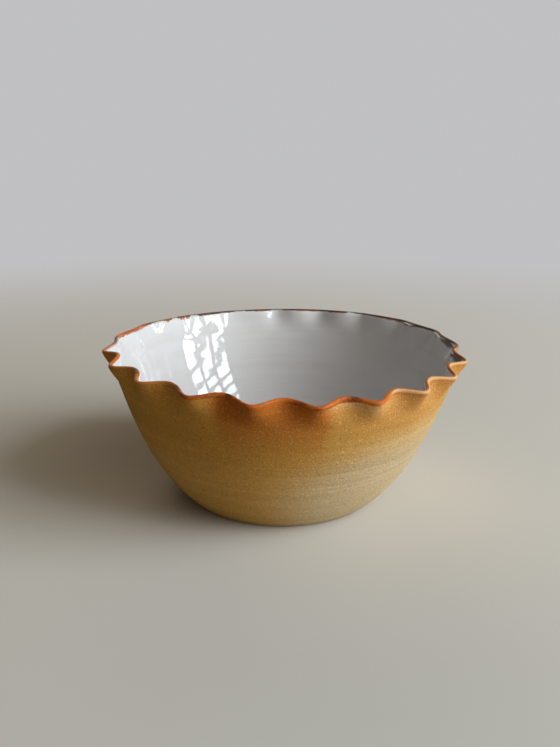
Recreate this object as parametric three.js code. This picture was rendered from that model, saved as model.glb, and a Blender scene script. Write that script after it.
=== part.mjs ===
// Serving bowl with a fluted rim: a thrown stoneware body left bare outside, a coat of white glaze
// inside, and a line of thin rust-coloured glaze along the lip.
// Millimetres, +Z up. The origin is the middle of the flat foot, on the table.
import * as THREE from "three";

// Section of the wall, from the foot to the lip
const FOOT_RADIUS = 69.4; // where the wall's outer face would reach the table
const FOOT_BEVEL = 1.4; // width of the trimmed edge round the foot
const FOOT_LEAN = 42.8; // degrees above level at which the wall leaves the foot
const FOOT_PULL = 41.9; // how far the wall keeps to that direction
const RIM_RADIUS = 120.2; // outer face at the lip, midway between the flutes' crests and hollows
const WALL_HEIGHT = 104; // where the outer face ends and the round of the lip begins
const RIM_LEAN = 73.2; // degrees above level at which the wall reaches the lip
const RIM_PULL = 32.9; // how far the wall keeps to that direction

// Thicknesses, measured to the finished inside
const FLOOR_THICKNESS = 8.5;
const WALL_AT_FOOT = 7.5;
const WALL_AT_LIP = 2.8;
const GLAZE_COAT = 0.7; // white glaze inside
const RIM_COAT = 0.4; // rust-coloured glaze on the lip
const SEAT = 0.2; // space between a coat and the clay under it

// Flat floor inside, and the round that leads from it into the wall
const FLOOR_RADIUS = 48;
const FLOOR_PULL = 26;
const CORNER_PULL = 16;
const CORNER_TOP = 0.3; // share of the wall, counted from the foot, at which the round ends

// Flutes, pushed in and out of the soft rim by hand
const FLUTES = 20;
const FLUTE_SWING = 4.3; // how far a crest stands out of the thrown circle, on the front half
const FAR_SWING = 1.9; // the same on the far half, which was pressed less deeply
const FAR_BLEND = 16; // degrees in front of the far half over which the swing falls off
const FLUTE_PINCH = 0.06; // makes the crests narrower than the hollows
const FLUTE_DIP = 0.21; // share of its swing by which a crest sinks
const FLUTE_REACH = 20; // distance below the lip's crown at which the flutes have died away
const FIRST_CREST = -83.6; // degrees from +X, before the drift

// Slow unevenness of a hand-made rim: times round the bowl, swing, and where the swing is greatest
const CREST_DRIFT_DEGREES = [[1, 5.15, -146], [3, 0.93, 48.5]];
const RIM_LIFT = [[1, 0.87, 121], [2, 1.42, 19.3]];
const RIM_OUT_OF_ROUND = [[1, 1, 0], [2, 0.65, 0]];

// Rows of facets, as shares of the wall counted from the foot
const FOOT_ROW = 0.04;
const OUTER_ROWS = [FOOT_ROW, 0.14, 0.26, 0.39, 0.52, 0.64, 0.75];
const INNER_ROWS = [CORNER_TOP, 0.45, 0.6, 0.75];
const FLUTED_ROWS = [0.82, 0.88, 0.94];
const LINING_TOP = 0.994; // top edge of the white coat, just short of the rust-coloured line
const CORNER_STEPS = 3;
const CROWN_STEPS = 3;
const SIDES_BELOW = FLUTES * 4;
const SIDES_FLUTED = FLUTES * 8;
const RIM_LINE_SKIRT = 0.992; // how far the rust-coloured line runs down the outer face

const { degToRad, lerp, smoothstep } = THREE.MathUtils;
const CROWN_HEIGHT = WALL_HEIGHT + WALL_AT_LIP / 2 * (1 + Math.cos(degToRad(RIM_LEAN)));

function heading(degrees, length) {
  return new THREE.Vector2(Math.cos(degToRad(degrees)), Math.sin(degToRad(degrees))).multiplyScalar(length);
}

const footEnd = new THREE.Vector2(FOOT_RADIUS, 0);
const rimEnd = new THREE.Vector2(RIM_RADIUS, WALL_HEIGHT);
const outerFace = new THREE.CubicBezierCurve(
  footEnd,
  footEnd.clone().add(heading(FOOT_LEAN, FOOT_PULL)),
  rimEnd.clone().sub(heading(RIM_LEAN, RIM_PULL)),
  rimEnd,
);

// A station is one point of the bowl's section: its radius and height before the flutes are pressed,
// how far it lies behind the outer face, and how many sides its ring has.
function station(point, inset, sides) {
  return { radius: point.x, height: point.y, inset, sides };
}

function sidesAt(share) {
  return share < FLUTED_ROWS[0] ? SIDES_BELOW : SIDES_FLUTED;
}

function inwardFrom(share) {
  const along = outerFace.getTangent(share);
  return new THREE.Vector2(-along.y, along.x);
}

// A point of the wall, so many millimetres behind its outer face
function wallStation(share, inset) {
  const point = outerFace.getPoint(share).addScaledVector(inwardFrom(share), inset);
  return station(point, inset, sidesAt(share));
}

function wallThickness(share) {
  return lerp(WALL_AT_FOOT, WALL_AT_LIP, share);
}

// The inside, from the middle of the floor up to the lip, sunk so far below the finished surface
function insideStations(sunk) {
  const floor = FLOOR_THICKNESS - sunk;
  const cornerEnd = wallStation(CORNER_TOP, wallThickness(CORNER_TOP) - sunk);
  const endPoint = new THREE.Vector2(cornerEnd.radius, cornerEnd.height);
  const corner = new THREE.CubicBezierCurve(
    new THREE.Vector2(FLOOR_RADIUS, floor),
    new THREE.Vector2(FLOOR_RADIUS + FLOOR_PULL, floor),
    endPoint.clone().addScaledVector(outerFace.getTangent(CORNER_TOP), -CORNER_PULL),
    endPoint,
  );
  const stations = [station(new THREE.Vector2(0, floor), 0, 1)];
  for (const point of corner.getPoints(CORNER_STEPS).slice(0, -1)) {
    stations.push(station(point, 0, SIDES_BELOW));
  }
  for (const share of [...INNER_ROWS, ...FLUTED_ROWS, LINING_TOP]) {
    stations.push(wallStation(share, wallThickness(share) - sunk));
  }
  return stations;
}

// The round of the lip, from the outer face over the crown to the inside, raised so far off the clay
function crownStations(raised) {
  const clayLip = WALL_AT_LIP - GLAZE_COAT - SEAT;
  const inward = inwardFrom(1);
  const upward = outerFace.getTangent(1);
  const middle = outerFace.getPoint(1).addScaledVector(inward, clayLip / 2);
  const radius = clayLip / 2 + raised;
  const stations = [];
  for (let step = 0; step <= CROWN_STEPS; step += 1) {
    const turn = Math.PI * step / CROWN_STEPS;
    const outward = radius * Math.cos(turn);
    const point = middle.clone().addScaledVector(inward, -outward);
    point.addScaledVector(upward, radius * Math.sin(turn));
    stations.push(station(point, clayLip / 2 - outward, SIDES_FLUTED));
  }
  return stations;
}

function slowWave(terms, azimuth) {
  let sum = 0;
  for (const [times, swing, greatestAt] of terms) {
    sum += swing * Math.cos(times * (azimuth - degToRad(greatestAt)));
  }
  return sum;
}

// Where a turn of the flute wave lies round the bowl; the hand spaces the crests a little unevenly
function azimuthOf(waveTurn) {
  const even = degToRad(FIRST_CREST) + waveTurn / FLUTES;
  let azimuth = even;
  for (let round = 0; round < 6; round += 1) {
    azimuth = even + degToRad(slowWave(CREST_DRIFT_DEGREES, azimuth));
  }
  return azimuth;
}

// How far the crests stand out at a place round the rim
function swingAt(azimuth) {
  const far = smoothstep(Math.sin(azimuth), -Math.sin(degToRad(FAR_BLEND)), 0);
  return lerp(FLUTE_SWING, FAR_SWING, far);
}

// One ring of the bowl. Towards the lip the flutes swing it in and out, and the wall's thickness is kept
// square to the flutes' flanks.
function ring({ radius, height, inset, sides }) {
  if (sides === 1) {
    return [new THREE.Vector3(0, 0, height)];
  }
  const pressed = smoothstep(height, CROWN_HEIGHT - FLUTE_REACH, CROWN_HEIGHT);
  const risen = height / CROWN_HEIGHT;
  const points = [];
  for (let side = 0; side < sides; side += 1) {
    const waveTurn = 2 * Math.PI * FLUTES * side / sides;
    const azimuth = azimuthOf(waveTurn);
    const swing = pressed * swingAt(azimuth);
    const wave = Math.cos(waveTurn) + FLUTE_PINCH * Math.cos(2 * waveTurn);
    const waveSlope = -Math.sin(waveTurn) - 2 * FLUTE_PINCH * Math.sin(2 * waveTurn);
    const flank = swing * waveSlope * FLUTES / RIM_RADIUS;
    const thrown = radius + risen * slowWave(RIM_OUT_OF_ROUND, azimuth);
    const reach = thrown + swing * wave - inset * (Math.hypot(1, flank) - 1);
    const lift = risen * slowWave(RIM_LIFT, azimuth) - FLUTE_DIP * swing * wave;
    points.push(new THREE.Vector3(reach * Math.cos(azimuth), reach * Math.sin(azimuth), height + lift));
  }
  return points;
}

// Facets between two rings. A ring may be a single point, or have half the other's sides. Each pair of
// facets is split from its flute's crest down to the hollow, so a coat's facets lie along the clay's.
function stitch(triangles, low, high) {
  const steps = Math.max(low.length, high.length);
  const stepsInFlute = steps / FLUTES;
  const climbs = high[0].z > low[0].z;
  const pick = (points, step) => points[Math.floor(step * points.length / steps) % points.length];
  const add = (a, b, c) => {
    if (a !== b && b !== c && c !== a) {
      triangles.push(a, b, c);
    }
  };
  for (let step = 0; step < steps; step += 1) {
    const lowNow = pick(low, step);
    const lowNext = pick(low, step + 1);
    const highNow = pick(high, step);
    const highNext = pick(high, step + 1);
    const towardsHollow = step % stepsInFlute < stepsInFlute / 2;
    if (towardsHollow === climbs) {
      add(lowNow, lowNext, highNext);
      add(lowNow, highNext, highNow);
    } else {
      add(lowNow, lowNext, highNow);
      add(lowNext, highNext, highNow);
    }
  }
}

// A closed solid through a row of stations that goes once round its section, from the underside outwards
function loft(stations, closesOnItself) {
  const rings = stations.map(ring);
  const triangles = [];
  for (let index = 1; index < rings.length; index += 1) {
    stitch(triangles, rings[index - 1], rings[index]);
  }
  if (closesOnItself) {
    stitch(triangles, rings.at(-1), rings[0]);
  }
  const geometry = new THREE.BufferGeometry().setFromPoints(triangles);
  geometry.computeVertexNormals();
  return geometry;
}

function namedMesh(name, geometry, color, roughness) {
  const material = new THREE.MeshStandardMaterial({ color, roughness, metalness: 0 });
  const mesh = new THREE.Mesh(geometry, material);
  mesh.name = name;
  return mesh;
}

// Thrown body: flat foot with a bevelled edge, rounded wall, fluted lip, inside down to the floor
function clayBody() {
  const stations = [
    station(new THREE.Vector2(0, 0), 0, 1),
    station(new THREE.Vector2(FOOT_RADIUS - FOOT_BEVEL, 0), 0, SIDES_BELOW),
  ];
  for (const share of [...OUTER_ROWS, ...FLUTED_ROWS]) {
    stations.push(wallStation(share, 0));
  }
  stations.push(...crownStations(0));
  stations.push(...insideStations(GLAZE_COAT + SEAT).reverse());
  return namedMesh("clay_body", loft(stations, false), 0xb98a52, 0.85);
}

// White glaze: a thin coat over the whole inside, up to the lip
function glazeLining() {
  const back = insideStations(GLAZE_COAT);
  const face = insideStations(0).reverse();
  return namedMesh("glaze_lining", loft([...back, ...face], false), 0xe4e4e8, 0.08);
}

// Rust-coloured glaze: a thin skin over the crown of the lip and a little way down the outside
function rimGlazeLine() {
  const outer = [wallStation(RIM_LINE_SKIRT, -SEAT - RIM_COAT), ...crownStations(SEAT + RIM_COAT)];
  const inner = [...crownStations(SEAT).reverse(), wallStation(RIM_LINE_SKIRT, -SEAT)];
  return namedMesh("rim_glaze_line", loft([...outer, ...inner], true), 0xa2521f, 0.3);
}

const bowl = new THREE.Group();
bowl.add(clayBody(), glazeLining(), rimGlazeLine());

export default bowl;
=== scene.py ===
"""Serving bowl with a fluted rim: bare toasted stoneware outside, glossy white glaze inside, and a line of
rust-coloured glaze along the lip. Metres, +Z up, origin in the middle of the flat foot."""

import math

import bpy
from mathutils import Matrix, Vector


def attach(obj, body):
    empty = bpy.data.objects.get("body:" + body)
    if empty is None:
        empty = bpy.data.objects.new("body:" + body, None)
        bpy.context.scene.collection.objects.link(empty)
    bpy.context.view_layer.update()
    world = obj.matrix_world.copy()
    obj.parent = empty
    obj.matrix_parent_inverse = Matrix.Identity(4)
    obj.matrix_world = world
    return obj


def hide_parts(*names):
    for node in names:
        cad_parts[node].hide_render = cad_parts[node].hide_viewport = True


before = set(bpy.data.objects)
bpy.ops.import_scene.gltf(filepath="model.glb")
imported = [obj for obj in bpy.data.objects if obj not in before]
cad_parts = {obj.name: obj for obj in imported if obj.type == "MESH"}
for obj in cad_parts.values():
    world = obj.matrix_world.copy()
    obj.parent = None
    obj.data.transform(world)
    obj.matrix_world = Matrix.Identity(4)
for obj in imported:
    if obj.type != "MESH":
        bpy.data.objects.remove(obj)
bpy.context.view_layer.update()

# Section of the thrown wall, as in the solids
FOOT_RADIUS = 0.0694
FOOT_BEVEL = 0.0014
FOOT_ROUND_TOP = 0.03
FOOT_ROUND_PULL = 0.6
FOOT_EDGE_LIFT = 0.0001
FOOT_LEAN = math.radians(42.8)
FOOT_PULL = 0.0419
RIM_RADIUS = 0.1202
WALL_HEIGHT = 0.104
RIM_LEAN = math.radians(73.2)
RIM_PULL = 0.0329
FLOOR_THICKNESS = 0.0085
WALL_AT_FOOT = 0.0075
WALL_AT_LIP = 0.0028
FLOOR_RADIUS = 0.048
FLOOR_PULL = 0.026
CORNER_PULL = 0.016
CORNER_TOP = 0.3
GLAZE_COAT = 0.0007
GLAZE_SEAT = 0.0002
CROWN_HEIGHT = WALL_HEIGHT + WALL_AT_LIP / 2 * (1 + math.cos(RIM_LEAN))

# Flutes pressed into the rim, as in the solids
FLUTES = 20
FLUTE_SWING = 0.0043
FAR_SWING = 0.0019
FAR_BLEND = math.radians(16)
FLUTE_PINCH = 0.06
FLUTE_DIP = 0.21
FLUTE_REACH = 0.020
FIRST_CREST = math.radians(-83.6)
CREST_DRIFT = [(1, math.radians(5.15), math.radians(-146)), (3, math.radians(0.93), math.radians(48.5))]
RIM_LIFT = [(1, 0.00087, math.radians(121)), (2, 0.00142, math.radians(19.3))]
RIM_OUT_OF_ROUND = [(1, 0.001, 0.0), (2, 0.00065, 0.0)]

# Hand work that only the finished surface shows
FLUTE_UNEVENNESS = 0.22
LIVELY_SIDE = math.radians(62)
LIVELY_GAIN = 0.35
QUIET_SIDE = math.radians(117)
QUIET_LOSS = 0.8
HEAVY_SIDE = math.radians(-88)
WALL_WANDER = 0.0004
CLAY_RING_DEPTH = 0.0002
GLAZE_RING_DEPTH = 0.00003
RING_SPACING = 0.0055
SPIRAL_DEPTH = 0.00018
SPIRAL_SPACING = 0.011

# Skin of rust-coloured glaze over the lip
RUST_COAT = 0.00008
RUST_TUCK = 0.00004
RUST_DEPTH = 0.0002
RUST_LAP_OUTSIDE = 0.0005
RUST_LAP_INSIDE = 0.0004
RUST_EDGE_WANDER = 0.0018
RUST_EDGE_DROP = 0.0008

# Sides of the bowl on which the finishes and the painted light and shade change, counted from +X
TOASTED_SIDE = math.radians(-93)
LIT_FLUTE_SIDE = math.radians(-69)
WINDOW_LIT_SIDE = math.radians(-18)
RIGHT_END = math.radians(-6)
RIGHT_BACK = math.radians(26)
FAR_SHADE_SIDE = math.radians(62)
THIN_SIDE = math.radians(82)
BACK_SIDE = math.radians(90)
LEFT_GAP = math.radians(151)
LEFT_PATCH = math.radians(163)
LEFT_TIP = math.radians(188)

# Where some noises start, so that they don't repeat the others
PIT_NOISE_START = (0.37, 0.11, 0.23)
PATCH_NOISE_START = (0.13, 0.29, 0.41)
FLOW_NOISE_START = (0.21, 0.43, 0.0)
PEEL_NOISE_START = (0.07, 0.31, 0.0)

# Fineness of the meshes
SIDES = FLUTES * 24
FOOT_ROWS = 10
FOOT_ROUND_ROWS = 6
WALL_ROWS = 96
INSIDE_ROWS = 112
HIDDEN_ROWS = 24
CROWN_ROWS = 12
RUST_ROWS = 26
ON_AXIS = 1e-6

# Camera, fitted to the photograph
CAMERA_PLACE = Vector((0, -0.4803, 0.2320))
CAMERA_DOWN = math.radians(17.18)
CAMERA_YAW = math.radians(-0.24)
CAMERA_ROLL = math.radians(0.54)
CAMERA_LENS = 33.98
CAMERA_SENSOR = 36

# Soft window light from the right, in panes
WINDOW_AZIMUTH = math.radians(-19)
WINDOW_HEIGHT = math.radians(16)
WINDOW_DISTANCE = 2.4
WINDOW_COLUMNS = 3
WINDOW_ROWS = 8
UPPER_ROWS = 5
PANE_WIDTH = 0.42
PANE_HEIGHT = 0.113
POST_WIDTH = 0.125
BAR_HEIGHT = 0.075
PANE_GLOW = 16.4
UPPER_PANE_GLOW = 12.6
WINDOW_COLOR = (0.83, 0.925, 1.0)
FILL_LEVEL = 0.035
FRONT_LEVEL = 0.82
FRONT_EDGE = 0.42
FRONT_WAY = Vector((0.78, -0.62, 0.35)).normalized()
FILL_COLOR = (1.0, 0.85, 0.65, 1)

# Weak soft light from behind
BACK_LIGHT_AZIMUTH = math.radians(102)
BACK_LIGHT_HEIGHT = math.radians(26)
BACK_LIGHT_SIZE = 1.6
BACK_LIGHT_WATTS = 13.0

# Pale floor and backdrop
FLOOR_COLOR = (0.66, 0.64, 0.59, 1)
FLOOR_BOUNCE = (0.40, 0.35, 0.25, 1)
BACKDROP_COLOR = (0.53, 0.53, 0.54, 1)
FLOOR_SIZE = 12.0
FLOOR_FADE_START = 0.3
FLOOR_FADE_END = 1.3


class Nodes:
    """A node tree in the making: each call adds nodes, fed with plain values or with other nodes."""

    def __init__(self, tree):
        self.tree = tree

    def feed(self, socket, value):
        if isinstance(value, bpy.types.NodeSocket):
            self.tree.links.new(value, socket)
        else:
            socket.default_value = value

    def node(self, kind, inputs=None, **settings):
        made = self.tree.nodes.new(kind)
        for key, value in settings.items():
            setattr(made, key, value)
        for key, value in (inputs or {}).items():
            self.feed(made.inputs[key], value)
        return made

    def math(self, operation, *values):
        made = self.node("ShaderNodeMath", operation=operation)
        for socket, value in zip(made.inputs, values):
            self.feed(socket, value)
        return made.outputs[0]

    def one_by_one(self, operation, values):
        total = values[0]
        for value in values[1:]:
            total = self.math(operation, total, value)
        return total

    def sum(self, *values):
        return self.one_by_one("ADD", values)

    def product(self, *values):
        return self.one_by_one("MULTIPLY", values)

    def greatest(self, *values):
        return self.one_by_one("MAXIMUM", values)

    def less(self, value, by):
        return self.math("SUBTRACT", value, by)

    def blend_step(self, value, low, high, first=0.0, last=1.0):
        """A soft step: first below low, last above high."""
        made = self.node("ShaderNodeMapRange", interpolation_type="SMOOTHSTEP")
        for socket, given in zip(made.inputs, (value, low, high, first, last)):
            self.feed(socket, given)
        return made.outputs[0]

    def stretch(self, vector, scale):
        return self.node("ShaderNodeVectorMath", {0: vector, 1: scale}, operation="MULTIPLY").outputs[0]

    def shift(self, vector, by):
        return self.node("ShaderNodeVectorMath", {0: vector, 1: by}, operation="ADD").outputs[0]

    def dot(self, first, second):
        made = self.node("ShaderNodeVectorMath", {0: first, 1: second}, operation="DOT_PRODUCT")
        return made.outputs["Value"]

    def vector(self, x, y, z):
        return self.node("ShaderNodeCombineXYZ", {0: x, 1: y, 2: z}).outputs[0]

    def parts(self, vector):
        return self.node("ShaderNodeSeparateXYZ", {0: vector}).outputs

    def noise(self, vector, scale, detail=2.0, roughness=0.5):
        inputs = {"Vector": vector, "Scale": scale, "Detail": detail, "Roughness": roughness}
        return self.node("ShaderNodeTexNoise", inputs).outputs[0]

    def swing(self, noise, depth):
        """A noise from 0 to 1 as a swing either side of nothing."""
        return self.product(self.math("MULTIPLY_ADD", noise, 2.0, -1.0), depth)

    def mix_color(self, share, first, second, way="MIX"):
        made = self.node("ShaderNodeMix", data_type="RGBA", blend_type=way)
        self.feed(made.inputs[0], share)
        self.feed(made.inputs[6], first)
        self.feed(made.inputs[7], second)
        return made.outputs[2]


# Section of the bowl

def heading(lean, length):
    return Vector((math.cos(lean), math.sin(lean))) * length


FOOT_END = Vector((FOOT_RADIUS, 0))
RIM_END = Vector((RIM_RADIUS, WALL_HEIGHT))
OUTER_FACE = (
    FOOT_END,
    FOOT_END + heading(FOOT_LEAN, FOOT_PULL),
    RIM_END - heading(RIM_LEAN, RIM_PULL),
    RIM_END,
)


def curve_point(curve, share):
    a, b, c, d = curve
    rest = 1 - share
    return a * rest**3 + b * (3 * rest**2 * share) + c * (3 * rest * share**2) + d * share**3


def curve_heading(curve, share):
    a, b, c, d = curve
    rest = 1 - share
    return ((b - a) * rest**2 + (c - b) * (2 * rest * share) + (d - c) * share**2).normalized()


def wall_point(share, inset):
    """A point of the wall, so far behind its outer face."""
    along = curve_heading(OUTER_FACE, share)
    return curve_point(OUTER_FACE, share) + Vector((-along.y, along.x)) * inset


def wall_thickness(share):
    return WALL_AT_FOOT + (WALL_AT_LIP - WALL_AT_FOOT) * share


def spread(first, last, count):
    return [first + (last - first) * step / count for step in range(count + 1)]


def station(point, inset=0.0, edge=0.0):
    return (point.x, point.y, inset, edge)


def foot_stations():
    """The flat underside and the trimmed edge of the foot, rounded a little."""
    flat = FOOT_RADIUS - FOOT_BEVEL
    stations = [station(Vector((radius, 0))) for radius in spread(0, flat, FOOT_ROWS)]
    edge = wall_point(FOOT_ROUND_TOP, 0)
    corner = (
        Vector((flat, 0)),
        Vector((FOOT_RADIUS, FOOT_EDGE_LIFT)),
        edge * FOOT_ROUND_PULL + FOOT_END * (1 - FOOT_ROUND_PULL),
        edge,
    )
    stations += [station(curve_point(corner, share)) for share in spread(0, 1, FOOT_ROUND_ROWS)[1:]]
    return stations


def wall_stations():
    """The outer face, from the round of the foot up to the lip."""
    return [station(wall_point(share, 0)) for share in spread(FOOT_ROUND_TOP, 1, WALL_ROWS)]


def lip_axes():
    """The outer face's upper end, the way along the wall there, and the way into the wall."""
    along = curve_heading(OUTER_FACE, 1)
    return curve_point(OUTER_FACE, 1), along, Vector((-along.y, along.x))


def crown_stations(lip):
    """The round on top of a lip of this thickness, from outside to inside."""
    outer_end, along, inward = lip_axes()
    radius = lip / 2
    middle = outer_end + inward * radius
    stations = []
    for turn in spread(0, math.pi, CROWN_ROWS):
        across = radius * math.cos(turn)
        point = middle - inward * across + along * (radius * math.sin(turn))
        stations.append(station(point, radius - across))
    return stations


def inside_stations(sunk, rows):
    """The inside from the middle of the floor up to the lip, sunk so far below the finished surface."""
    floor = FLOOR_THICKNESS - sunk
    corner_end = wall_point(CORNER_TOP, wall_thickness(CORNER_TOP) - sunk)
    corner = (
        Vector((FLOOR_RADIUS, floor)),
        Vector((FLOOR_RADIUS + FLOOR_PULL, floor)),
        corner_end - curve_heading(OUTER_FACE, CORNER_TOP) * CORNER_PULL,
        corner_end,
    )
    floor_rows = rows // 4
    corner_rows = rows // 4
    stations = [station(Vector((radius, floor))) for radius in spread(0, FLOOR_RADIUS, floor_rows)]
    stations += [station(curve_point(corner, share)) for share in spread(0, 1, corner_rows)[1:]]
    for share in spread(CORNER_TOP, 1, rows - floor_rows - corner_rows)[1:]:
        inset = wall_thickness(share) - sunk
        stations.append(station(wall_point(share, inset), inset))
    return stations


def spin_section(name, stations, closes_on_itself=False):
    """Spins a section into a mesh that carries its measures: how far behind the outer face, how near to an
    edge, how far along the section, and how far below the lip each point lies."""
    points = []
    rings = []
    measures = {"inset": [], "edge": [], "run": [], "below_lip": []}
    run = 0.0
    last = stations[0]
    for radius, height, inset, edge in stations:
        run += math.hypot(radius - last[0], height - last[1])
        last = (radius, height)
        sides = 1 if radius < ON_AXIS else SIDES
        rings.append([len(points) + side for side in range(sides)])
        here = {"inset": inset, "edge": edge, "run": run, "below_lip": CROWN_HEIGHT - height}
        for key, value in here.items():
            measures[key] += [value] * sides
        for side in range(sides):
            azimuth = 2 * math.pi * side / sides
            points.append((radius * math.cos(azimuth), radius * math.sin(azimuth), height))
    pairs = list(zip(rings, rings[1:]))
    if closes_on_itself:
        pairs.append((rings[-1], rings[0]))
    faces = []
    for low, high in pairs:
        for side in range(SIDES):
            after = (side + 1) % SIDES
            if len(low) == 1:
                faces.append((low[0], high[after], high[side]))
            elif len(high) == 1:
                faces.append((low[side], low[after], high[0]))
            else:
                faces.append((low[side], low[after], high[after], high[side]))
    mesh = bpy.data.meshes.new(name)
    mesh.from_pydata(points, [], faces, shade_flat=False)
    for key, values in measures.items():
        mesh.attributes.new(key, "FLOAT", "POINT").data.foreach_set("value", values)
    piece = bpy.data.objects.new(name, mesh)
    bpy.context.scene.collection.objects.link(piece)
    return piece


# Hand work on the spun shapes, one rule for all of them

def slow_wave(tree, azimuth, terms):
    waves = []
    for times, swing, greatest_at in terms:
        turn = tree.product(tree.less(azimuth, greatest_at), float(times))
        waves.append(tree.product(tree.math("COSINE", turn), swing))
    return tree.sum(*waves)


def facing_out(tree, out, azimuth, low, high, nudge=0.0):
    """How far a level direction out of the bowl faces this way: 0 below low, 1 above high."""
    way = (math.cos(azimuth), math.sin(azimuth), 0.0)
    return tree.blend_step(tree.sum(tree.dot(out, way), nudge), low, high)


HAND_WORK_SIZES = {
    "Flutes": float(FLUTES),
    "Swing": FLUTE_SWING,
    "Far swing": FAR_SWING,
    "Far blend": FAR_BLEND,
    "Pinch": FLUTE_PINCH,
    "Dip": FLUTE_DIP,
    "Reach": FLUTE_REACH,
    "First crest": FIRST_CREST,
    "Rim radius": RIM_RADIUS,
    "Crown height": CROWN_HEIGHT,
    "Unevenness": FLUTE_UNEVENNESS,
    "Lively gain": LIVELY_GAIN,
    "Quiet loss": QUIET_LOSS,
    "Wander": WALL_WANDER,
    "Ring depth": 0.0,
    "Ring spacing": RING_SPACING,
    "Spiral depth": 0.0,
    "Spiral spacing": SPIRAL_SPACING,
    "Edge wander": 0.0,
    "Edge drop": 0.0,
}


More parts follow.
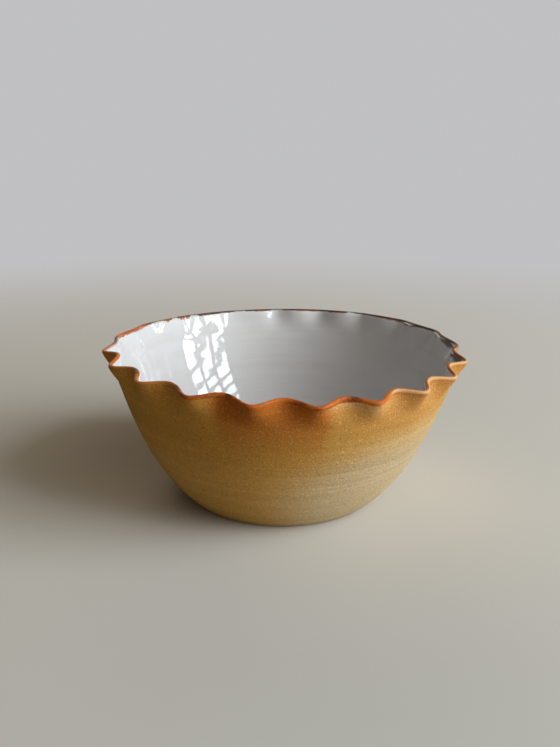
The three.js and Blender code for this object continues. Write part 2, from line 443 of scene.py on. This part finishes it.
def hand_work_tree():
    """Presses the flutes into a spun piece, lets its wall wander a little, and leaves throwing rings."""
    group = bpy.data.node_groups.new("hand_work", "GeometryNodeTree")
    group.interface.new_socket("Geometry", in_out="INPUT", socket_type="NodeSocketGeometry")
    for name, size in HAND_WORK_SIZES.items():
        socket = group.interface.new_socket(name, in_out="INPUT", socket_type="NodeSocketFloat")
        socket.default_value = size
    group.interface.new_socket("Material", in_out="INPUT", socket_type="NodeSocketMaterial")
    group.interface.new_socket("Geometry", in_out="OUTPUT", socket_type="NodeSocketGeometry")
    tree = Nodes(group)
    given = tree.node("NodeGroupInput").outputs

    def measure(name):
        return tree.node("GeometryNodeInputNamedAttribute", {"Name": name}, data_type="FLOAT").outputs[0]

    def moved(shape, offset):
        return tree.node("GeometryNodeSetPosition", {"Geometry": shape, "Offset": offset}).outputs[0]

    x, y, z = tree.parts(tree.node("GeometryNodeInputPosition").outputs[0])
    azimuth = tree.math("ARCTAN2", y, x)
    cosine = tree.math("COSINE", azimuth)
    sine = tree.math("SINE", azimuth)
    round_the_bowl = tree.vector(cosine, sine, 0.0)
    risen = tree.math("DIVIDE", z, given["Crown height"])

    # Crests and hollows along the rim, unevenly spaced
    drift = slow_wave(tree, azimuth, CREST_DRIFT)
    from_first = tree.less(tree.less(azimuth, given["First crest"]), drift)
    turn = tree.product(from_first, given["Flutes"])
    double_turn = tree.product(turn, 2.0)
    double_wave = tree.product(tree.math("COSINE", double_turn), given["Pinch"])
    wave = tree.sum(tree.math("COSINE", turn), double_wave)
    double_slope = tree.product(tree.math("SINE", double_turn), given["Pinch"], 2.0)
    wave_slope = tree.sum(tree.math("SINE", turn), double_slope)

    # Ragged edge of a thin coat, which slides along the wall
    edge_depth = tree.product(measure("inset"), 1.0 / WALL_AT_LIP)
    edge_noise = tree.noise(tree.vector(cosine, sine, edge_depth), scale=13.0, detail=3.0, roughness=0.6)
    edge_wander = tree.swing(edge_noise, given["Edge wander"])
    heavy = facing_out(tree, round_the_bowl, HEAVY_SIDE, 0.86, 0.98)
    edge_drop = tree.product(heavy, given["Edge drop"], -1.0)
    edge_slide = tree.product(measure("edge"), tree.sum(edge_wander, edge_drop))
    edge_rise = tree.product(edge_slide, math.sin(RIM_LEAN))

    # How far the flutes swing here: less on the far half, nothing below their reach
    flute_top = given["Crown height"]
    flute_end = tree.less(flute_top, given["Reach"])
    pressed = tree.blend_step(tree.sum(z, edge_rise), flute_end, flute_top)
    lively = facing_out(tree, round_the_bowl, LIVELY_SIDE, 0.55, 0.85)
    quiet = facing_out(tree, round_the_bowl, QUIET_SIDE, 0.92, 0.98)
    uneven = tree.sum(
        1.0,
        tree.swing(tree.noise(round_the_bowl, scale=3.4), given["Unevenness"]),
        tree.product(lively, given["Lively gain"]),
        tree.product(quiet, given["Quiet loss"], -1.0),
    )
    far = tree.blend_step(sine, tree.product(tree.math("SINE", given["Far blend"]), -1.0), 0.0)
    far_loss = tree.product(far, tree.less(given["Far swing"], given["Swing"]))
    swing = tree.product(tree.sum(given["Swing"], far_loss), pressed, uneven)

    # The wall keeps its thickness across a flute's steep flank
    flank = tree.math("DIVIDE", tree.product(swing, wave_slope, given["Flutes"]), given["Rim radius"])
    stretch = tree.math("SQRT", tree.math("MULTIPLY_ADD", flank, flank, 1.0))
    thicker = tree.product(measure("inset"), tree.less(stretch, 1.0))

    wander_noise = tree.noise(tree.vector(cosine, sine, tree.product(risen, 1.4)), scale=1.6)
    off_the_foot = tree.blend_step(risen, 0.01, 0.2)
    wander = tree.product(tree.swing(wander_noise, given["Wander"]), off_the_foot)
    outward = tree.sum(
        tree.product(swing, wave),
        tree.product(risen, slow_wave(tree, azimuth, RIM_OUT_OF_ROUND)),
        tree.product(thicker, -1.0),
        wander,
        tree.product(edge_slide, math.cos(RIM_LEAN)),
    )
    dip = tree.product(given["Dip"], swing, wave)
    upward = tree.sum(
        tree.product(risen, slow_wave(tree, azimuth, RIM_LIFT)),
        tree.product(dip, -1.0),
        edge_rise,
    )
    push = tree.vector(tree.product(cosine, outward), tree.product(sine, outward), upward)
    fluted = moved(given["Geometry"], push)

    # Throwing rings on the wall, and the spiral that the fingers left on the floor
    ring_run = tree.math("DIVIDE", measure("run"), given["Ring spacing"])
    ring_noise = tree.noise(tree.vector(cosine, sine, ring_run), scale=1.0, detail=2.0, roughness=0.55)
    off_the_table = tree.blend_step(z, 0.0008, 0.005)
    ring_push = tree.product(tree.swing(ring_noise, given["Ring depth"]), off_the_table)
    from_middle = tree.math("SQRT", tree.sum(tree.product(x, x), tree.product(y, y)))
    spiral_turn = tree.product(tree.math("DIVIDE", from_middle, given["Spiral spacing"]), 2 * math.pi)
    spiral = tree.math("COSINE", tree.less(spiral_turn, azimuth))
    spiral_reach = tree.product(
        tree.blend_step(from_middle, 0.002, 0.008),
        tree.blend_step(from_middle, 0.02, FLOOR_RADIUS + 0.01, 1.0, 0.0),
    )
    spiral_push = tree.product(spiral, spiral_reach, given["Spiral depth"])
    normal = tree.node("GeometryNodeInputNormal").outputs[0]
    off_the_wall = {0: normal, "Scale": tree.sum(ring_push, spiral_push)}
    ringed = moved(fluted, tree.node("ShaderNodeVectorMath", off_the_wall, operation="SCALE").outputs[0])

    real = tree.node("GeometryNodeRealizeInstances", {"Geometry": ringed}).outputs[0]
    finish = {"Geometry": real, "Material": given["Material"]}
    finished = tree.node("GeometryNodeSetMaterial", finish).outputs[0]
    tree.node("NodeGroupOutput", {"Geometry": finished})
    return group


def work_by_hand(piece, group, material, sizes):
    """Runs the hand work on a spun piece and keeps the result as its plain mesh."""
    modifier = piece.modifiers.new(group.name, "NODES")
    modifier.node_group = group
    settings = {**HAND_WORK_SIZES, **sizes, "Material": material}
    for item in group.interface.items_tree:
        if item.in_out == "INPUT" and item.name in settings:
            modifier[item.identifier] = settings[item.name]
    depsgraph = bpy.context.evaluated_depsgraph_get()
    worked = piece.evaluated_get(depsgraph)
    mesh = bpy.data.meshes.new_from_object(worked, preserve_all_data_layers=True, depsgraph=depsgraph)
    piece.modifiers.remove(modifier)
    spun = piece.data
    piece.data = mesh
    bpy.data.meshes.remove(spun)
    mesh.name = piece.name


# Finishes

def cleared_tree(owner):
    """The node tree of a material or a world, emptied."""
    owner.use_nodes = True
    owner.node_tree.nodes.clear()
    return Nodes(owner.node_tree)


def new_material(name):
    material = bpy.data.materials.new(name)
    tree = cleared_tree(material)
    shader = tree.node("ShaderNodeBsdfPrincipled")
    output = tree.node("ShaderNodeOutputMaterial")
    tree.feed(output.inputs["Surface"], shader.outputs[0])
    return material, tree, shader


def place_on_object(tree):
    return tree.node("ShaderNodeTexCoord").outputs["Object"]


def measured(tree, name):
    return tree.node("ShaderNodeAttribute", attribute_name=name).outputs["Fac"]


def facing_share(tree, place, azimuth, low, high, nudge=0.0):
    """How far a place lies on the side of the bowl that faces this way: 0 below low, 1 above high."""
    level = tree.stretch(place, (1.0, 1.0, 0.0))
    out = tree.node("ShaderNodeVectorMath", {0: level}, operation="NORMALIZE").outputs[0]
    return facing_out(tree, out, azimuth, low, high, nudge)


def rust_weight(tree, place):
    """How heavily the rust glaze lies on the lip: in patches, heavily at the right end, thinly behind."""
    patch_noise = tree.noise(tree.shift(place, PATCH_NOISE_START), scale=52.0)
    thinly = tree.product(facing_share(tree, place, THIN_SIDE, 0.5, 0.85), 0.6)
    bare_tip = facing_share(tree, place, LEFT_TIP, 0.982, 0.995)
    bare_gap = facing_share(tree, place, LEFT_GAP, 0.990, 0.998)
    kept = tree.less(1.0, tree.greatest(thinly, bare_tip, bare_gap))
    patches = tree.product(tree.blend_step(patch_noise, 0.49, 0.60), kept)
    right_back = tree.product(facing_share(tree, place, RIGHT_BACK, 0.8, 0.95), 0.4)
    right_end = facing_share(tree, place, RIGHT_END, 0.92, 0.985)
    left_patch = tree.product(facing_share(tree, place, LEFT_PATCH, 0.975, 0.990), 0.5)
    return tree.greatest(patches, left_patch, right_back, right_end)


def bare_stoneware():
    """Bare clay, ochre to pale sand, toasted by the fire below the rim, with grog and throwing bands; the
    sand is partly painted sheen on the window-lit side, one flute has a painted highlight, and the foot
    edge has painted shade.
    """
    material, tree, shader = new_material("bare_stoneware")
    place = place_on_object(tree)
    below = measured(tree, "below_lip")
    blotch = tree.noise(place, scale=17.0, detail=3.0, roughness=0.55)
    band = tree.noise(tree.stretch(place, (4.0, 4.0, 125.0)), scale=1.0, detail=2.0, roughness=0.5)
    streak = tree.noise(tree.stretch(place, (9.0, 9.0, 420.0)), scale=1.0, detail=3.0, roughness=0.6)
    scratch = tree.noise(tree.stretch(place, (5.0, 5.0, 780.0)), scale=1.0, detail=2.0, roughness=0.6)
    grain = tree.noise(place, scale=1500.0, detail=2.0, roughness=0.65)
    coarse = tree.noise(place, scale=860.0, detail=2.0, roughness=0.65)
    pitted = tree.noise(tree.shift(place, PIT_NOISE_START), scale=760.0, detail=2.0, roughness=0.6)

    ochre = (0.535, 0.283, 0.054, 1)
    straw = (0.630, 0.374, 0.112, 1)
    sand_and_sheen = (0.565, 0.440, 0.262, 1)
    orange = (0.615, 0.292, 0.082, 1)
    toasted = (0.455, 0.138, 0.016, 1)
    flute_highlight = (0.66, 0.41, 0.20, 1)
    light_speck = (0.74, 0.46, 0.19, 1)
    dark_speck = (0.15, 0.07, 0.02, 1)
    foot_shade_brown = (0.22, 0.12, 0.04, 1)

    def blotchy(depth):
        """How far below the lip, with a blotchy edge of this depth."""
        return tree.sum(below, tree.swing(blotch, depth))

    # Ochre above, straw below, paler sand on the window-lit right (partly the clay's own tone, partly
    # painted sheen), orange under the rim
    lower = tree.blend_step(blotchy(0.014), 0.028, 0.078)
    color = tree.mix_color(lower, ochre, straw)
    window_lit = facing_share(tree, place, WINDOW_LIT_SIDE, 0.35, 0.95, tree.product(lower, 0.3))
    sheen_low = tree.blend_step(blotchy(0.012), 0.014, 0.062)
    color = tree.mix_color(tree.product(window_lit, sheen_low), color, sand_and_sheen)
    near_rim = tree.blend_step(blotchy(0.014), 0.006, 0.040, 1.0, 0.0)
    orange_share = tree.sum(0.2, tree.product(window_lit, 0.62))
    color = tree.mix_color(tree.product(near_rim, orange_share), color, orange)

    # Toasted in the middle of the front, with a painted highlight on the lit flank of one flute beside it
    fired = facing_share(tree, place, TOASTED_SIDE, 0.938, 0.975)
    fired_reach = tree.sum(0.010, tree.product(fired, 0.040), tree.swing(blotch, 0.012))
    flash = tree.blend_step(below, 0.002, fired_reach, 1.0, 0.0)
    flash_share = tree.sum(0.2, tree.product(fired, 0.8))
    color = tree.mix_color(tree.product(flash, flash_share), color, toasted)
    # Painted highlight: one flute's flank facing the light is paler just under the lip
    on_lit_flute = facing_share(tree, place, LIT_FLUTE_SIDE, 0.982, 0.997)
    under_lip = tree.blend_step(blotchy(0.006), 0.003, 0.011, 0.55, 0.0)
    color = tree.mix_color(tree.product(on_lit_flute, under_lip), color, flute_highlight)

    # Grog, throwing bands, and painted shade along the edge of the foot
    light_grog = tree.blend_step(coarse, 0.53, 0.68)
    dark_grog = tree.blend_step(pitted, 0.60, 0.72)
    color = tree.mix_color(tree.product(light_grog, 0.10), color, light_speck)
    color = tree.mix_color(tree.product(dark_grog, 0.30), color, dark_speck)
    # Painted shade: the lowest few millimetres darken towards the foot
    foot_shade_band = tree.blend_step(below, CROWN_HEIGHT - 0.007, CROWN_HEIGHT - 0.001)
    color = tree.mix_color(tree.product(foot_shade_band, 0.35), color, foot_shade_brown)
    # Grain, grog and bands vary the tone at random; the scratches show more strongly on the window-lit
    # side, as painted light
    shade = tree.sum(
        1.0,
        tree.swing(band, 0.17),
        tree.swing(streak, 0.1),
        tree.swing(scratch, tree.sum(0.05, tree.product(window_lit, 0.13))),
        tree.swing(grain, 0.42),
        tree.product(light_grog, 0.30),
        tree.product(dark_grog, -0.2),
        tree.swing(blotch, 0.1),
    )
    grey = tree.node("ShaderNodeCombineColor", {0: shade, 1: shade, 2: shade}).outputs[0]
    color = tree.mix_color(1.0, color, grey, "MULTIPLY")

    under_foot = tree.blend_step(below, CROWN_HEIGHT - 0.0012, CROWN_HEIGHT - 0.0004)
    trimmed = tree.vector(0.0, 0.0, measured(tree, "run"))
    trim_ring = tree.product(tree.noise(trimmed, scale=420.0, detail=2.0, roughness=0.6), under_foot)
    height = tree.sum(
        grain,
        tree.product(trim_ring, 4.0),
        tree.product(light_grog, 0.7),
        tree.product(dark_grog, -1.3),
        tree.product(streak, 0.5),
    )
    bump = tree.node("ShaderNodeBump", {"Strength": 0.7, "Distance": 0.0003, "Height": height})
    tree.feed(shader.inputs["Base Color"], color)
    tree.feed(shader.inputs["Roughness"], tree.sum(0.74, tree.product(grain, 0.2)))
    tree.feed(shader.inputs["Normal"], bump.outputs[0])
    shader.inputs["Specular IOR Level"].default_value = 0.2
    shader.inputs["Diffuse Roughness"].default_value = 0.4
    return material


def white_glaze():
    """Glossy white glaze, thinner over the throwing rings, with rust breaking through under the lip."""
    material, tree, shader = new_material("white_glaze")
    place = place_on_object(tree)
    below = measured(tree, "below_lip")
    run = measured(tree, "run")
    cloud = tree.noise(place, scale=22.0, detail=3.0, roughness=0.5)
    white = (0.64, 0.632, 0.635, 1)
    thin = (0.615, 0.60, 0.59, 1)
    bright_rust = (0.42, 0.108, 0.012, 1)
    burnt_rust_and_shade = (0.10, 0.028, 0.007, 1)
    ring_place = tree.shift(
        tree.stretch(place, (6.0, 6.0, 0.0)),
        tree.vector(0.0, 0.0, tree.product(run, 190.0)),
    )
    ring = tree.noise(ring_place, scale=1.0, detail=3.0, roughness=0.55)
    thinned = tree.blend_step(tree.sum(ring, tree.swing(cloud, 0.3)), 0.45, 0.75)
    color = tree.mix_color(thinned, white, thin)

    edge_noise = tree.noise(place, scale=160.0, detail=3.0, roughness=0.6)
    weight = rust_weight(tree, place)
    raggedness = tree.product(tree.swing(edge_noise, 0.0022), weight)
    break_depth = tree.sum(0.0004, tree.product(weight, 0.0042), raggedness)
    broken = tree.blend_step(below, tree.less(break_depth, 0.0012), break_depth, 1.0, 0.0)
    # At the right end, where the inside lies in shade, the rust is darker: partly the glaze's own burnt
    # colour, partly painted shade
    shaded_burnt_end = facing_share(tree, place, RIGHT_END, 0.5, 0.9)
    burnt = tree.greatest(shaded_burnt_end, tree.blend_step(cloud, 0.5, 0.7))
    rust = tree.mix_color(burnt, bright_rust, burnt_rust_and_shade)
    color = tree.mix_color(tree.product(broken, 0.96), color, rust)

    peel = tree.noise(tree.shift(place, PEEL_NOISE_START), scale=120.0, detail=2.0, roughness=0.5)
    bump = tree.node("ShaderNodeBump", {"Strength": 0.09, "Distance": 0.0004, "Height": peel})
    tree.feed(shader.inputs["Base Color"], color)
    tree.feed(shader.inputs["Normal"], bump.outputs[0])
    shader.inputs["Roughness"].default_value = 0.045
    shader.inputs["IOR"].default_value = 1.52
    return material


def rust_glaze():
    """Rust-coloured glaze that breaks over the lip: orange in front, dark with painted shade on the far
    side, worn through to the clay along its outer edge, lighter there as a painted highlight on the
    window-lit side, and run over by the white glaze here and there."""
    material, tree, shader = new_material("rust_glaze")
    place = place_on_object(tree)
    inset = measured(tree, "inset")
    patch = tree.noise(place, scale=60.0, detail=4.0, roughness=0.65)
    fleck = tree.noise(place, scale=700.0, detail=2.0, roughness=0.5)
    flow = tree.noise(tree.shift(place, FLOW_NOISE_START), scale=95.0, detail=3.0, roughness=0.6)
    weight = rust_weight(tree, place)
    rust = (0.550, 0.130, 0.013, 1)
    burnt = (0.150, 0.038, 0.010, 1)
    shade_brown = (0.075, 0.045, 0.032, 1)
    white_run = (0.60, 0.58, 0.56, 1)
    worn_clay = (0.48, 0.205, 0.045, 1)
    worn_clay_highlight = (0.69, 0.41, 0.19, 1)
    patchy = tree.blend_step(tree.sum(patch, tree.swing(fleck, 0.12)), 0.46, 0.66)
    color = tree.mix_color(patchy, rust, burnt)
    # Painted shade: the lip turns dark on the far side, where its inner edge faces away from the light, and
    # in a thin dark line behind where the rust is thin
    far = facing_share(tree, place, FAR_SHADE_SIDE, -0.1, 0.6)
    far_shade_share = tree.blend_step(patch, 0.42, 0.66, 1.0, 0.45)
    color = tree.mix_color(tree.product(far, far_shade_share), color, shade_brown)
    behind = facing_share(tree, place, BACK_SIDE, -0.3, 0.05)
    shaded_thin_line = tree.product(behind, tree.less(1.0, weight))
    color = tree.mix_color(tree.product(shaded_thin_line, 0.85), color, shade_brown)

    run_start = tree.sum(0.0023, tree.product(weight, 0.003), tree.swing(flow, 0.0007))
    run_over = tree.product(tree.blend_step(inset, run_start, tree.sum(run_start, 0.0006)), behind)
    color = tree.mix_color(tree.product(run_over, 0.92), color, white_run)

    heavy = facing_share(tree, place, HEAVY_SIDE, 0.78, 0.95)
    worn_reach = tree.sum(tree.blend_step(heavy, 0.0, 1.0, 0.0013, -0.0006), tree.swing(flow, 0.0012))
    worn_start = tree.less(worn_reach, 0.0003)
    worn_end = tree.sum(worn_reach, 0.0003)
    worn = tree.blend_step(inset, worn_start, worn_end, 1.0, 0.0)
    worn_share = tree.math("MULTIPLY_ADD", behind, -0.6, 0.85)
    # Painted highlight: where the lip is worn through, the bare clay is lighter on the window-lit side
    lit_lip_side = facing_share(tree, place, WINDOW_LIT_SIDE, 0.1, 0.6)
    bare = tree.mix_color(lit_lip_side, worn_clay, worn_clay_highlight)
    color = tree.mix_color(tree.product(worn, worn_share), color, bare)

    roughness = tree.sum(0.44, tree.product(patch, 0.2), tree.product(run_over, -0.3))
    bump = tree.node("ShaderNodeBump", {"Strength": 0.4, "Distance": 0.0002, "Height": fleck})
    tree.feed(shader.inputs["Base Color"], color)
    tree.feed(shader.inputs["Roughness"], roughness)
    tree.feed(shader.inputs["Normal"], bump.outputs[0])
    shader.inputs["Specular IOR Level"].default_value = 0.18
    return material


# The three pieces

def make_clay_body(group):
    """The thrown clay: foot, outer face, round of the lip, and the inside that the white glaze covers."""
    clay_lip = WALL_AT_LIP - GLAZE_COAT - GLAZE_SEAT
    stations = foot_stations()
    stations += wall_stations()[1:]
    stations += crown_stations(clay_lip)[1:]
    stations += inside_stations(GLAZE_COAT + GLAZE_SEAT, HIDDEN_ROWS)[::-1][1:]
    piece = spin_section("stoneware_body", stations)
    work_by_hand(piece, group, bare_stoneware(), {"Ring depth": CLAY_RING_DEPTH})
    return piece


def make_glaze_lining(group):
    """The coat of white glaze over the inside: its underside, then its finished face."""
    stations = inside_stations(GLAZE_COAT, HIDDEN_ROWS)
    stations += inside_stations(0.0, INSIDE_ROWS)[::-1]
    piece = spin_section("white_lining", stations)
    marks = {"Ring depth": GLAZE_RING_DEPTH, "Spiral depth": SPIRAL_DEPTH}
    work_by_hand(piece, group, white_glaze(), marks)
    return piece


def rust_path():
    """Points over the lip, from outside to inside, each with the way off the surface and its share of the
    whole path."""
    outer_end, along, inward = lip_axes()
    radius = WALL_AT_LIP / 2
    middle = outer_end + inward * radius
    round_length = math.pi * radius
    length = RUST_LAP_OUTSIDE + round_length + RUST_LAP_INSIDE
    path = []
    for share in spread(0, 1, RUST_ROWS):
        past_edge = share * length - RUST_LAP_OUTSIDE
        turn = min(max(past_edge / round_length, 0), 1) * math.pi
        off = along * math.sin(turn) - inward * math.cos(turn)
        down = max(-past_edge, past_edge - round_length, 0)
        path.append((middle + off * radius - along * down, off, share))
    return path


def make_rim_line(group):
    """A thin skin over the lip that thins out into the clay outside and the white glaze inside."""
    outer_end, _, inward = lip_axes()
    top = []
    underside = []
    for point, off, share in rust_path():
        from_middle = abs(2 * share - 1)
        swell = 1 - from_middle**4
        edge = from_middle**2
        raised = point + off * (RUST_COAT * swell - RUST_TUCK)
        sunk = point - off * (RUST_DEPTH * swell + RUST_TUCK)
        top.append(station(raised, (raised - outer_end).dot(inward), edge))
        underside.append(station(sunk, (sunk - outer_end).dot(inward), edge))
    piece = spin_section("rust_rim_line", top + underside[-2:0:-1], closes_on_itself=True)
    raggedness = {"Edge wander": RUST_EDGE_WANDER, "Edge drop": RUST_EDGE_DROP}
    work_by_hand(piece, group, rust_glaze(), raggedness)
    return piece


def dress(piece, node):
    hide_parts(node)
    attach(piece, "root")


hand_work = hand_work_tree()
dress(make_clay_body(hand_work), "clay_body")
dress(make_glaze_lining(hand_work), "glaze_lining")
dress(make_rim_line(hand_work), "rim_glaze_line")


# Floor, light and camera

def make_floor():
    """A pale floor that the camera sees fade into the backdrop, and that throws warm light on the bowl."""
    half = FLOOR_SIZE / 2
    mesh = bpy.data.meshes.new("floor")
    corners = [(-half, -half, 0), (half, -half, 0), (half, half, 0), (-half, half, 0)]
    mesh.from_pydata(corners, [], [(0, 1, 2, 3)])
    floor = bpy.data.objects.new("floor", mesh)
    bpy.context.scene.collection.objects.link(floor)
    material = bpy.data.materials.new("pale_floor")
    tree = cleared_tree(material)
    place = place_on_object(tree)
    away = tree.node("ShaderNodeVectorMath", {0: place}, operation="LENGTH").outputs["Value"]
    far = tree.node("ShaderNodeEmission", {"Color": BACKDROP_COLOR, "Strength": 1.0})
    seen = tree.node("ShaderNodeLightPath").outputs["Is Camera Ray"]
    matt = tree.node("ShaderNodeBsdfDiffuse", {"Color": tree.mix_color(seen, FLOOR_BOUNCE, FLOOR_COLOR)})
    fade = tree.product(tree.blend_step(away, FLOOR_FADE_START, FLOOR_FADE_END), seen)
    mixed = tree.node("ShaderNodeMixShader", {0: fade, 1: matt.outputs[0], 2: far.outputs[0]})
    output = tree.node("ShaderNodeOutputMaterial")
    tree.feed(output.inputs["Surface"], mixed.outputs[0])
    mesh.materials.append(material)


def facing_the_bowl(azimuth, height):
    """A turn whose third axis points away from the bowl, so that a lamp on it faces the bowl."""
    away = Vector((
        math.cos(azimuth) * math.cos(height),
        math.sin(azimuth) * math.cos(height),
        math.sin(height),
    ))
    across = Vector((0, 0, 1)).cross(away).normalized()
    upward = away.cross(across)
    return Matrix((across, upward, away)).transposed().to_4x4()


def make_window():
    """Panes of soft light, set as a window to the right of the bowl and turned towards it."""
    turned = facing_the_bowl(WINDOW_AZIMUTH, WINDOW_HEIGHT)
    for column in range(WINDOW_COLUMNS):
        for row in range(WINDOW_ROWS + UPPER_ROWS):
            light = bpy.data.lights.new(f"pane_{column}_{row}", "AREA")
            light.shape = "RECTANGLE"
            light.size = PANE_WIDTH
            light.size_y = PANE_HEIGHT
            glow = PANE_GLOW if row < WINDOW_ROWS else UPPER_PANE_GLOW
            light.energy = glow * math.pi * PANE_WIDTH * PANE_HEIGHT
            light.color = WINDOW_COLOR
            pane = bpy.data.objects.new(light.name, light)
            aside = (column - (WINDOW_COLUMNS - 1) / 2) * (PANE_WIDTH + POST_WIDTH)
            above = (row - (WINDOW_ROWS - 1) / 2) * (PANE_HEIGHT + BAR_HEIGHT)
            pane.matrix_world = turned @ Matrix.Translation((aside, above, WINDOW_DISTANCE))
            bpy.context.scene.collection.objects.link(pane)


def make_back_light():
    """A weak soft light from behind, so that the far side of the bowl isn't lost in shade."""
    light = bpy.data.lights.new("back_light", "AREA")
    light.size = BACK_LIGHT_SIZE
    light.energy = BACK_LIGHT_WATTS
    light.color = FILL_COLOR[:3]
    lamp = bpy.data.objects.new(light.name, light)
    turned = facing_the_bowl(BACK_LIGHT_AZIMUTH, BACK_LIGHT_HEIGHT)
    lamp.matrix_world = turned @ Matrix.Translation((0, 0, WINDOW_DISTANCE))
    bpy.context.scene.collection.objects.link(lamp)


def make_world():
    """Warm fill from the front right, and a plain backdrop for the camera and for reflections."""
    world = bpy.data.worlds.new("studio")
    tree = cleared_tree(world)
    facing = tree.dot(tree.node("ShaderNodeTexCoord").outputs["Generated"], FRONT_WAY)
    level = tree.blend_step(facing, FRONT_EDGE, 1.0, FILL_LEVEL, FILL_LEVEL + FRONT_LEVEL)
    fill = tree.node("ShaderNodeBackground", {"Color": FILL_COLOR, "Strength": level})
    backdrop = tree.node("ShaderNodeBackground", {"Color": BACKDROP_COLOR, "Strength": 1.0})
    path = tree.node("ShaderNodeLightPath").outputs
    seen = tree.greatest(path["Is Camera Ray"], path["Is Glossy Ray"], path["Is Transmission Ray"])
    mixed = tree.node("ShaderNodeMixShader", {0: seen, 1: fill.outputs[0], 2: backdrop.outputs[0]})
    output = tree.node("ShaderNodeOutputWorld")
    tree.feed(output.inputs["Surface"], mixed.outputs[0])
    bpy.context.scene.world = world


def make_camera():
    """The photograph's view."""
    forward = Vector((
        math.sin(CAMERA_YAW) * math.cos(CAMERA_DOWN),
        math.cos(CAMERA_YAW) * math.cos(CAMERA_DOWN),
        -math.sin(CAMERA_DOWN),
    ))
    level = Vector((math.cos(CAMERA_YAW), -math.sin(CAMERA_YAW), 0))
    upright = level.cross(forward)
    right = level * math.cos(CAMERA_ROLL) + upright * math.sin(CAMERA_ROLL)
    up = upright * math.cos(CAMERA_ROLL) - level * math.sin(CAMERA_ROLL)
    camera = bpy.data.objects.new("camera", bpy.data.cameras.new("camera"))
    camera.data.lens = CAMERA_LENS
    camera.data.sensor_width = CAMERA_SENSOR
    camera.data.clip_start = 0.01
    turned = Matrix((right, up, -forward)).transposed().to_4x4()
    camera.matrix_world = Matrix.Translation(CAMERA_PLACE) @ turned
    bpy.context.scene.collection.objects.link(camera)
    bpy.context.scene.camera = camera


make_floor()
make_window()
make_back_light()
make_world()
make_camera()
bpy.context.scene.view_settings.view_transform = "Standard"
